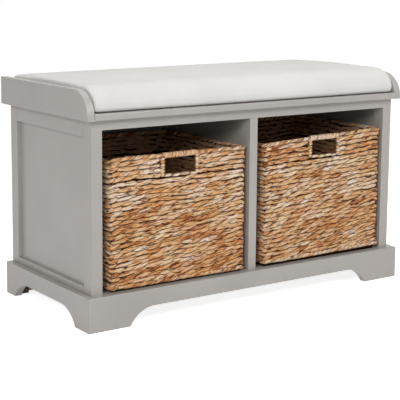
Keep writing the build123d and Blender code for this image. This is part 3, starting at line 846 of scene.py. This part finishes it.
            # Painted shade: the inner faces take a flattened, darker copy of the tones, darker still below
            # DEEP_LEVEL
            deep = 1 - smooth_step((level - DEEP_LEVEL) / DEEP_BLEND)
            colour = INNER_TONE + INNER_CONTRAST * colour + DEEP_SHADE_TONE * deep
            light = INNER_TIP_LIGHT + (1 - INNER_TIP_LIGHT) * swell
            under = INNER_UNDER
        else:
            light = TIP_LIGHT + (1 - TIP_LIGHT) * swell**TIP_LIGHT_POWER
            under = (UNDER_AT_BASE - UNDER_FALL * self.share(level, Z))[..., None]
        strips = Strips()
        # Painted shade: the strands darken at their tips, edges and undersides, the outer ones more towards
        # the base
        strips.add(centre, outward, half_width, half_thickness, colour, light, edge=0.15, under=under)
        face = "inner" if inside else "outer"
        return strips.make(f"{self.name}_{face}_weave", self.name, SHADED_LEAF if inside else LEAF)

    def rope(self, name, level, tone, proud):
        """A rolled edge: strands twisted round each other all along the outline, a little proud of it."""
        strips = Strips()
        run = np.arange(0, self.loop.length + ROPE_STEP, ROPE_STEP)
        place, facing = self.loop.at(run)
        lift = self.lift(run, level, EDGE_WAVE)
        ripple_height, ripple_length = ROPE_RIPPLE
        for strand in range(ROPE_STRANDS):
            turn = 2 * pi * (run / ROPE_PITCH + strand / ROPE_STRANDS) + waves(run, *ROPE_DRIFTS)
            out, up = np.cos(turn), np.sin(turn)
            girth = 1 + waves(run, ROPE_GIRTH) + ripple_height * np.sin(run / ripple_length)
            depth = WALL / 2 - proud - ROPE_OUT * out
            centre = place - facing * depth[:, None] + UP * (level + ROPE_UP * up + lift)[:, None]
            outward = unit(facing * out[:, None] + UP * up[:, None])
            half_width = ROLL_HALF * girth
            colour = tone + waves(run, *ROPE_TONES)
            light = np.ones_like(run)
            # Painted shade: the rope's strands darken at their edges and undersides
            strips.add_one(centre, outward, half_width, half_width / 2, colour, light, edge=0.65, under=0.4)
        return strips.make(f"{self.name}_{name}", self.name)


def wind(strips, start, end, first, second, turns, half_size, tone):
    """Winds a strip round a straight core. first and second are the core's half sizes as vectors."""
    start, end, first, second = (np.array(v) for v in (start, end, first, second))
    step = np.linspace(0, 1, int(turns * STEPS_PER_TURN))
    turn = 2 * pi * (turns * step)
    c, s = np.cos(turn), np.sin(turn)
    wide, deep = signed_power(c, BOXY)[:, None], signed_power(s, BOXY)[:, None]
    centre = start + (end - start) * step[:, None] + first * wide + second * deep
    outward = unit(
        signed_power(c, 2 - BOXY)[:, None] * first / (first @ first)
        + signed_power(s, 2 - BOXY)[:, None] * second / (second @ second)
    )
    half_width = half_size[0] * (1 + waves(turn, WRAP_GIRTH))
    half_thickness = np.full_like(step, half_size[1])
    colour = tone + waves(turn, WRAP_TONES) + rng.normal(0, WRAP_TINT_SPREAD, len(step))
    # Painted shade: the wound strip darkens at its edges
    strips.add_one(centre, outward, half_width, half_thickness, colour, np.ones_like(step), edge=0.9)


def flat_halves(half_size, swell):
    """The half width and half thickness along a lens-shaped strand."""
    return (half * swell**power for half, power in zip(half_size, FLAT_POWERS))


def lay(strips, start, end, outward, half_size, tone):
    """Lays one lens-shaped strand from start to end."""
    step = np.linspace(0, 1, STRAND_RINGS)
    swell = lens(step, BOUND_TIP)
    centre = np.array(start) + (np.array(end) - np.array(start)) * step[:, None]
    facing = np.broadcast_to(np.array(outward, float), centre.shape)
    half_width, half_thickness = flat_halves(half_size, swell)
    colour = np.full(STRAND_RINGS, tone + rng.normal(0, BOUND_TINT_SPREAD))
    # Painted shade: the strand darkens at its edges and towards its tips
    strips.add_one(centre, facing, half_width, half_thickness, colour, swell, edge=0.7)


def bind_handle(basket):
    """The strip wound over the hand hole, and the strands bound round the hole's other edges."""
    front = basket.low[Y]
    middle = front + WALL / 2
    left, right = basket.centre[X] - basket.hole_half, basket.centre[X] + basket.hole_half
    tilt = basket.look["rise_at_rim"] / 2
    top = basket.rim_level + tilt
    sill = HOLE_LEVEL - SILL_DROP + tilt
    wrap = Strips()
    wind(
        wrap,
        start=(left - HOLE_EDGE, middle, top - WRAP_RISE),
        end=(right + HOLE_EDGE, middle, top + WRAP_RISE),
        first=(0, -WRAP_HALF_DEPTH, 0),
        second=(0, 0, WRAP_HALF_HEIGHT),
        turns=(right - left + 2 * HOLE_EDGE) / WRAP_PITCH,
        half_size=WRAP_HALF,
        tone=basket.look["wrap_tone"],
    )
    binding = Strips()
    for depth, facing in ((BINDING_DEPTH, -1.0), (WALL - BINDING_DEPTH, 1.0)):
        y = front + depth
        outward = (0, facing, 0)
        for number, x in enumerate(np.linspace(left - SILL_REACH[0], right - SILL_REACH[1], SILL_STRANDS)):
            level = sill + SILL_WAVE * (-1) ** number
            start = (x, y, level - SILL_RISE)
            end = (x + SILL_LENGTH, y, level + SILL_RISE)
            lay(binding, start, end, outward, SILL_HALF, SILL_TONE)
        for side, x in ((-1, left), (1, right)):
            for level in np.arange(sill + JAMB_ENDS[0], top - JAMB_ENDS[1], JAMB_PITCH):
                reach = rng.uniform(*JAMB_REACH)
                drop = rng.uniform(*JAMB_DROP)
                tone = JAMB_TONE + rng.normal(0, JAMB_TINT_SPREAD)
                start = (x + side * reach, y, level - drop)
                end = (x - side * JAMB_LAP, y, level)
                lay(binding, start, end, outward, JAMB_HALF, tone)
    return (
        wrap.make(f"{basket.name}_woven_wrap", basket.name),
        binding.make(f"{basket.name}_woven_binding", basket.name),
    )


def weave_base(basket):
    """The base: flat strands in rows, over and under in turn, reaching the walls all round."""
    name = basket.name
    low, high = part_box(f"{name}_base")
    found = []
    for number, row in enumerate(row_levels(low[Y] - BASE_LAP, high[Y] + BASE_LAP)):
        for middle, length in fill(low[X] - BASE_LAP, high[X] + BASE_LAP):
            found.append((middle, length, row, number % 2))
    middle, length, row, odd = (column[:, None] for column in np.array(found).T)
    step = np.linspace(0, 1, STRAND_RINGS)[None]
    swell = lens(step, BASE_TIP) * np.ones_like(middle)
    x = middle + length * (step - 0.5)
    y = row + BASE_SLANT * (2 * step - 1)
    z = basket.base_level(x) + BASE_WAVE * np.cos(pi * (step + odd))
    centre = np.stack(np.broadcast_arrays(x, y, z), axis=-1)
    facing = np.broadcast_to(UP, centre.shape)
    half_width, half_thickness = flat_halves(BASE_HALF, swell)
    colour = BASE_TONE + rng.normal(0, BASE_TINT_SPREAD, middle.shape) * np.ones_like(step)
    strips = Strips()
    # Painted shade: the base's strands darken towards their tips and edges
    strips.add(centre, facing, half_width, half_thickness, colour, swell)
    piece = strips.make(f"{name}_woven_base", name, SHADED_LEAF)
    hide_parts(f"{name}_base")


def bend_frame(basket):
    """The wire in the weave: a hoop in each roll and an upright in each corner, bent as the weave is."""
    strips = Strips()
    run = np.arange(0, basket.loop.length + ROPE_STEP, ROPE_STEP)
    ends = np.array((basket.foot_level, basket.rim_level))
    lines = [(run, np.full_like(run, level)) for level in ends]
    lines += [(np.full(2, corner), ends) for corner in basket.loop.corners]
    for along, level in lines:
        place, facing = basket.loop.at(along)
        lift = basket.lift(along, level, EDGE_WAVE)
        centre = place - facing * (WALL / 2) + UP * (level + lift)[:, None]
        whole = np.ones(len(along))
        strips.add_one(centre, facing, WIRE_HALF * whole, WIRE_HALF * whole, whole, whole)
    piece = strips.make(f"{basket.name}_bent_wire", basket.name, WIRE)
    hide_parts(f"{basket.name}_wire_frame")


def make_shade_sheet(basket):
    """A thin dark sheet between the faces of the weave, open at the hand hole, and one in the base: painted
    shade behind the weave's gaps.
    """
    loop = basket.loop
    stops = np.union1d(loop.marks, (basket.hole_half, loop.length - basket.hole_half))
    run = stops[:-1]
    place, facing = loop.at(run)
    sheet = place - facing * SHADE_SHEET_DEPTH
    levels = (basket.floor, HOLE_LEVEL - SHADE_SHEET_SILL_DROP, basket.high[Z])
    points = np.array([sheet + UP * (level + basket.lift(run, level))[:, None] for level in levels])
    # Painted shade: the sheet reaches down to the floor, filling the gap under the foot roll with dark
    points[LOWEST, :, Z] = basket.floor
    left, front = basket.low[:Z] + SHADE_SHEET_DEPTH
    right, back = basket.high[:Z] - SHADE_SHEET_DEPTH
    corners = ((left, front), (right, front), (right, back), (left, back))
    plate = [(x, y, basket.base_level(x) - BASE_SHEET_DEPTH) for x, y in corners]
    points = np.concatenate((points.reshape(-1, 3), plate))
    faces = [range(len(points) - len(plate), len(points))]
    in_hole = np.minimum(stops[:-1], loop.length - stops[1:]) < basket.hole_half - ROUNDING
    count = len(run)
    for low, high, holed in ((0, count, False), (count, 2 * count, True)):
        for column in range(count):
            after = (column + 1) % count
            if not (holed and in_hole[column]):
                faces.append((low + column, low + after, high + after, high + column))
    core = make_piece(f"{basket.name}_stakes", basket.name, SHADE_SHEET, points, np.array(faces))
    thicken = core.modifiers.new("thickness", "SOLIDIFY")
    thicken.thickness = SHADE_SHEET_THICKNESS
    thicken.offset = 0


def make_basket(name, look, seed):
    """Weaves a basket's walls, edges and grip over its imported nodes. The base comes later."""
    basket = Basket(name, look, seed)
    outer = basket.weave_walls(inside=False)
    basket.weave_walls(inside=True)
    make_shade_sheet(basket)
    rim = basket.rope("woven_rim", basket.rim_level, look["rim_tone"], RIM_PROUD)
    foot = basket.rope("woven_foot", basket.foot_level, look["foot_tone"], look["foot_proud"])
    wrap, binding = bind_handle(basket)
    bend_frame(basket)
    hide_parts(f"{name}_walls")
    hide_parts(f"{name}_rim")
    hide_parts(f"{name}_bottom_roll")
    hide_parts(f"{name}_handle_wrap")
    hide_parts(f"{name}_handle_binding")
    return basket


# What differs between the two baskets: tones, the hand hole's width, gaps, tilt and sag
LEFT_LOOK = dict(
    fade=0.32, above_seam=0.04, below_seam=-0.10, rim_tone=0.36, foot_tone=0.42, wrap_tone=0.34,
    hole=0.0775, gap=0.0040, seam_gap=0.0030, foot_proud=0.0022,
    rise_at_foot=0.0, rise_at_rim=0.0, sag=0.006,
)
RIGHT_LOOK = dict(
    fade=0.16, above_seam=0.16, below_seam=-0.08, rim_tone=0.26, foot_tone=0.14, wrap_tone=0.02,
    hole=0.0725, gap=0.0060, seam_gap=0.0008, foot_proud=0.0040,
    rise_at_foot=0.003, rise_at_rim=0.0130, sag=0.002,
)
baskets = [make_basket("left_basket", LEFT_LOOK, seed=3), make_basket("right_basket", RIGHT_LOOK, seed=8)]
for basket in baskets:
    weave_base(basket)


# ---- Cushion ----

CUSHION_DRAW_IN = 0.0010
CUSHION_RISE = 0.0022
VOXEL_SIZE = 0.0056
PRESSURE = 4.0
CLOTH_FRAMES = 20
SWELL_CAP = 0.0018

# Its section: the front's foot and roll, the flat of the top, the soft back edge and the crown
FRONT_INSET = 0.004
FRONT_RADIUS = 0.044
FRONT_DEPTH = 0.052
FRONT_TURN = 0.12
FRONT_POINTS = 13
TOP_STRETCH = (0.15, 0.9)
TOP_POINTS = 16
BACK_RADIUS = 0.013
BACK_POINTS = 7
CROWN = 0.0045

# The share of its height that stays down on the seat all along
RESTING = 0.02

# Its ends: their rounded edges, how the top drops at the left and rises at the right, the sections
END_RADIUS = 0.003
END_DROP = 0.0012
END_SPREAD = 0.2
RIGHT_RISE = 0.0022
END_STOPS = (0.0, 0.0008, 0.0017, 0.003, 0.01, 0.02, 0.035, 0.055, 0.08, 0.11, 0.14, 0.17, 0.2)


def cushion_block(low, high):
    """The pad before it swells: a grid shaped to the crown, the rolled front and the soft back."""
    half_x = (high[X] - low[X]) / 2
    middle_x = (high[X] + low[X]) / 2
    depth = high[Y] - low[Y]
    shoulder = high[Z] - CROWN
    outline = [(low[Y] + FRONT_INSET, low[Z])]
    for turn in np.linspace(FRONT_TURN, pi / 2, FRONT_POINTS):
        outline.append((low[Y] + FRONT_DEPTH * (1 - cos(turn)), shoulder - FRONT_RADIUS * (1 - sin(turn))))
    for step in np.linspace(*TOP_STRETCH, TOP_POINTS):
        outline.append((low[Y] + depth * step, shoulder))
    for turn in np.linspace(pi / 2, 0, BACK_POINTS):
        outline.append((high[Y] - BACK_RADIUS * (1 - cos(turn)), shoulder - BACK_RADIUS * (1 - sin(turn))))
    outline.append((high[Y], low[Z]))
    outline = np.array(outline)
    share = (outline[:, 0] - low[Y]) / depth
    lifted = np.clip((outline[:, 1] - low[Z]) / (shoulder - low[Z]), 0, 1)
    outline[:, 1] += CROWN * (1 - (2 * share - 1) ** 2) * lifted
    centre = low[Y] + depth / 2
    sections = []
    for distance in END_STOPS:
        inset = END_RADIUS - sqrt(max(END_RADIUS**2 - max(END_RADIUS - distance, 0) ** 2, 0))
        drop = END_DROP * (1 - smooth_step(distance / END_SPREAD))
        sections.append((middle_x - half_x + distance, inset, drop))
    sections += [(2 * middle_x - x, inset, -RIGHT_RISE) for x, inset, _ in sections[::-1]]
    rings = []
    for x, inset, drop in sections:
        ring = outline.copy()
        ring[:, 1] = np.where(lifted > RESTING, ring[:, 1] - (inset + drop) * lifted, ring[:, 1])
        ring[:, 0] += np.sign(centre - ring[:, 0]) * np.minimum(inset, np.abs(centre - ring[:, 0]))
        rings.append(np.column_stack((np.full(len(ring), x), ring)))
    return np.array(rings)


def make_cushion():
    """The padded cushion: one closed pad in place of its cover and foam."""
    low = np.array(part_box("cushion_base_cover")[LOWEST])
    high = np.array(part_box("cushion_top_cover")[HIGHEST])
    rings = cushion_block(low + CUSHION_DRAW_IN, high + (-CUSHION_DRAW_IN, -CUSHION_DRAW_IN, CUSHION_RISE))
    sections, around = rings.shape[:2]
    last = (sections - 1) * around
    faces = [tuple(range(around)), tuple(range(last, last + around))[::-1]]
    for near in range(0, last, around):
        far = near + around
        for i in range(around):
            after = (i + 1) % around
            faces.append((near + after, near + i, far + i, far + after))
    mesh = bpy.data.meshes.new("cushion")
    mesh.from_pydata(rings.reshape(-1, 3).tolist(), [], faces)
    piece = bpy.data.objects.new("cushion", mesh)
    scene.collection.objects.link(piece)
    remesh = piece.modifiers.new("remesh", "REMESH")
    remesh.mode = "VOXEL"
    remesh.voxel_size = VOXEL_SIZE
    apply_modifiers(piece)
    inflate(piece)
    piece.data.shade_smooth()
    dress(piece, FABRIC)
    smooth = piece.modifiers.new("smooth", "SUBSURF")
    smooth.levels = 1
    smooth.render_levels = 1
    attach(piece, "cushion")
    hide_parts("cushion_top_cover", "cushion_base_cover", "cushion_foam")


def apply_modifiers(piece):
    """Bakes a piece's modifiers into its mesh."""
    seen = piece.evaluated_get(bpy.context.evaluated_depsgraph_get())
    shaped = bpy.data.meshes.new_from_object(seen)
    piece.modifiers.clear()
    piece.data = shaped


def corners_of(mesh):
    spots = np.empty(len(mesh.vertices) * 3)
    mesh.vertices.foreach_get("co", spots)
    return spots.reshape(-1, 3)


def inflate(piece):
    """Swells the pad with cloth under pressure, and caps how far any point may move."""
    before = corners_of(piece.data)
    cloth = piece.modifiers.new("cloth", "CLOTH").settings
    cloth.use_pressure = True
    cloth.uniform_pressure_force = PRESSURE
    cloth.effector_weights.gravity = 0.0
    scene.frame_start = 1
    scene.frame_end = CLOTH_FRAMES
    for step in range(scene.frame_start, scene.frame_end + 1):
        scene.frame_set(step)
    apply_modifiers(piece)
    scene.frame_set(scene.frame_start)
    after = corners_of(piece.data)
    move = after - before
    far = np.linalg.norm(move, axis=1, keepdims=True)
    capped = before + move * np.minimum(1.0, SWELL_CAP / np.maximum(far, ROUNDING))
    piece.data.vertices.foreach_set("co", capped.ravel())


make_cushion()


# ---- Studio ----

# Where the camera stands, its turn in degrees and its focal length in the photo's pixels. The
# lens is shifted to bring its axis to AXIS_X and AXIS_Y in the picture, also in pixels.
CAMERA_PLACE = (-1.5406, -2.1687, 0.7224)
CAMERA_HEADING = 34.105
CAMERA_PITCH = -8.196
CAMERA_ROLL = -0.349
CAMERA_FOCUS = 1164.8
AXIS_X = 180.2
AXIS_Y = 140.0
PHOTO_SIZE = 400
SENSOR_WIDTH = 36.0

FLOOR_HALF = 6.0
FLOOR_GLOW = 0.8
WORLD_LEVEL = 0.22

# Lamps: place, the height over the origin that they point at, size and power
LAMPS = {
    "key": ((0.9, -2.3, 2.2), 0.25, 1.6, 34.5),
    "fill": ((-2.3, -1.9, 1.5), 0.25, 1.0, 32),
    "top": ((0.0, 0.3, 2.6), 0.4, 1.8, 21),
}


def make_floor():
    """A floor that looks nearly white and still takes the bench's shadow."""
    floor = new_shader("floor")
    material = floor.finish(
        Base_Color=srgb(245, 245, 245),
        Roughness=0.9,
        Emission_Color=WHITE,
        Emission_Strength=floor.maths("MULTIPLY", floor.seen(), FLOOR_GLOW),
    )
    corners = [(x * FLOOR_HALF, y * FLOOR_HALF, 0) for x, y in ((-1, -1), (1, -1), (1, 1), (-1, 1))]
    mesh = bpy.data.meshes.new("floor")
    mesh.from_pydata(corners, [], [(0, 1, 2, 3)])
    mesh.materials.append(material)
    plane = bpy.data.objects.new("floor", mesh)
    scene.collection.objects.link(plane)


def make_world():
    """White to look at, and a dim even light on everything."""
    scene.world = bpy.data.worlds.new("studio")
    sky = Shader(scene.world, "Background")
    sky.finish(Color=WHITE, Strength=sky.span(sky.seen(), (0.0, 1.0), (WORLD_LEVEL, 1.0)))


def make_lamp(name, place, aim, size, power):
    """A round area lamp that points at a height over the origin."""
    lamp = bpy.data.lights.new(name, "AREA")
    lamp.shape = "DISK"
    lamp.size = size
    lamp.energy = power
    holder = bpy.data.objects.new(name, lamp)
    holder.location = place
    holder.rotation_euler = (Vector((0.0, 0.0, aim)) - Vector(place)).to_track_quat("-Z", "Y").to_euler()
    scene.collection.objects.link(holder)


def make_camera():
    """The camera of the photo."""
    data = bpy.data.cameras.new("camera")
    data.sensor_width = SENSOR_WIDTH
    data.lens = CAMERA_FOCUS / PHOTO_SIZE * SENSOR_WIDTH
    data.shift_x = (PHOTO_SIZE / 2 - AXIS_X) / PHOTO_SIZE
    data.shift_y = (AXIS_Y - PHOTO_SIZE / 2) / PHOTO_SIZE
    camera = bpy.data.objects.new("camera", data)
    turn = Euler((radians(90 + CAMERA_PITCH), 0, radians(-CAMERA_HEADING))).to_matrix()
    roll = Matrix.Rotation(radians(-CAMERA_ROLL), 3, "Z")
    camera.matrix_world = Matrix.Translation(CAMERA_PLACE) @ (turn @ roll).to_4x4()
    scene.collection.objects.link(camera)
    scene.camera = camera


make_floor()
make_world()
for lamp_name, lamp_values in LAMPS.items():
    make_lamp(lamp_name, *lamp_values)
make_camera()
scene.view_settings.view_transform = "Standard"
